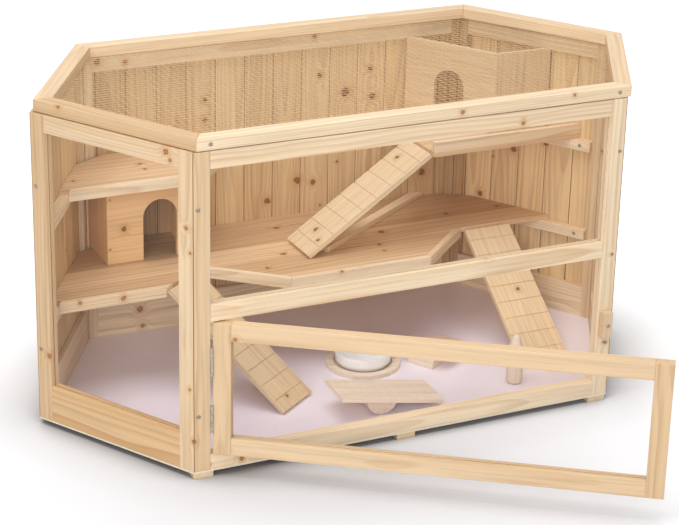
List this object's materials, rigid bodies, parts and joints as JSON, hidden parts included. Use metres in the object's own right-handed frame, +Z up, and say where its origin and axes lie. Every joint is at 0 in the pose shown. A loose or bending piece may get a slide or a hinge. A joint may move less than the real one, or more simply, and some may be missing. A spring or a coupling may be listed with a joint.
{
  "type": "hamster cage",
  "caption": "Hexagonal wooden hamster cage with boarded back, clear front, hinged front door, mesh lid, raised platform, shelves, hide, ramps and toys.",
  "frame": {"origin": "middle of the cage's footprint, on the underside of the battens it stands on", "axes": "+X along the long front to the right as seen from the front, +Y from front to back, +Z up"},
  "size_m": [1.1559, 1.0299, 0.5946],
  "materials": {
    "pine_frame": "planed pale pine laths, unvarnished",
    "pine_boards": "planed softwood boards with knots and open seams",
    "plywood": "thin plywood",
    "toy_wood": "sanded natural wood",
    "floor_film": "smooth tinted plastic sheet, slightly glossy",
    "acrylic": "clear polished acrylic sheet",
    "wire_mesh": "galvanised wire",
    "hinge_steel": "zinc plated",
    "screws": "zinc plated",
    "ceramic": "white glaze"
  },
  "bodies": {
    "cage": {"battens": "pine_frame", "base_panel": "plywood", "floor_film": "floor_film", "post_left": "pine_frame", "post_front_left": "pine_frame", "post_front_right": "pine_frame", "post_right": "pine_frame", "post_back_right": "pine_frame", "post_back_left": "pine_frame", "front_top_rail": "pine_frame", "front_mid_rail": "pine_frame", "front_bottom_rail": "pine_frame", "side_top_rail": "pine_frame", "side_bottom_rail": "pine_frame", "wall_top_rails": "pine_frame", "wall_bottom_rails": "pine_frame", "back_boards": "pine_boards", "back_left_boards": "pine_boards", "back_right_boards": "pine_boards", "right_boards": "pine_boards", "front_pane": "acrylic", "side_pane": "acrylic", "frame_screws": "screws", "platform": "pine_boards", "edge_strips": "pine_frame", "left_shelf": "pine_boards", "right_shelf": "pine_boards", "cleats": "pine_frame", "house_front": "pine_boards", "house_sides": "pine_boards", "room_arch_wall": "pine_boards", "room_end_wall": "pine_boards", "ramp_left": "pine_boards", "ramp_right": "pine_boards", "ramp_upper": "pine_boards", "platform_lath": "pine_frame", "tilt_plank": "toy_wood", "tilt_log": "toy_wood", "peg": "toy_wood", "bowl_board": "toy_wood", "bowl": "ceramic", "lid_hinges": "hinge_steel", "door_hinges": "hinge_steel", "button_screw": "screws"},
    "lid": {"lid_front_rail": "pine_frame", "lid_back_rail": "pine_frame", "lid_side_rails": "pine_frame", "lid_mesh": "wire_mesh", "lid_screws": "screws", "lid_hinge_leaves": "hinge_steel"},
    "door": {"door_stiles": "pine_frame", "door_rails": "pine_frame", "door_pane": "acrylic", "door_hinge_leaves": "hinge_steel"},
    "button": {"turn_button": "pine_frame"},
    "seesaw": {"seesaw_plank": "toy_wood", "seesaw_rocker": "toy_wood"}
  },
  "joints": [
    {"name": "lid_hinge", "type": "hinge", "parent": "cage", "child": "lid", "pos_m": [0, 0.3025, 0.5738], "axis": [-1, 0, 0], "range_deg": [0, 100]},
    {"name": "door_hinge", "type": "hinge", "parent": "cage", "child": "door", "pos_m": [-0.3706, -0.3025, 0.16], "axis": [0, 0, -1], "range_deg": [-35, 100]},
    {"name": "button_pivot", "type": "hinge", "parent": "cage", "child": "button", "pos_m": [0.38499, -0.312, 0.154], "axis": [0, -1, 0], "range_deg": [0, 90]},
    {"name": "rocking_board_tilt", "type": "hinge", "parent": "cage", "child": "seesaw", "pos_m": [-0.014, -0.195, 0.0438], "axis": [0.0523, 0.9986, 0], "range_deg": [-27, 4.2]}
  ]
}
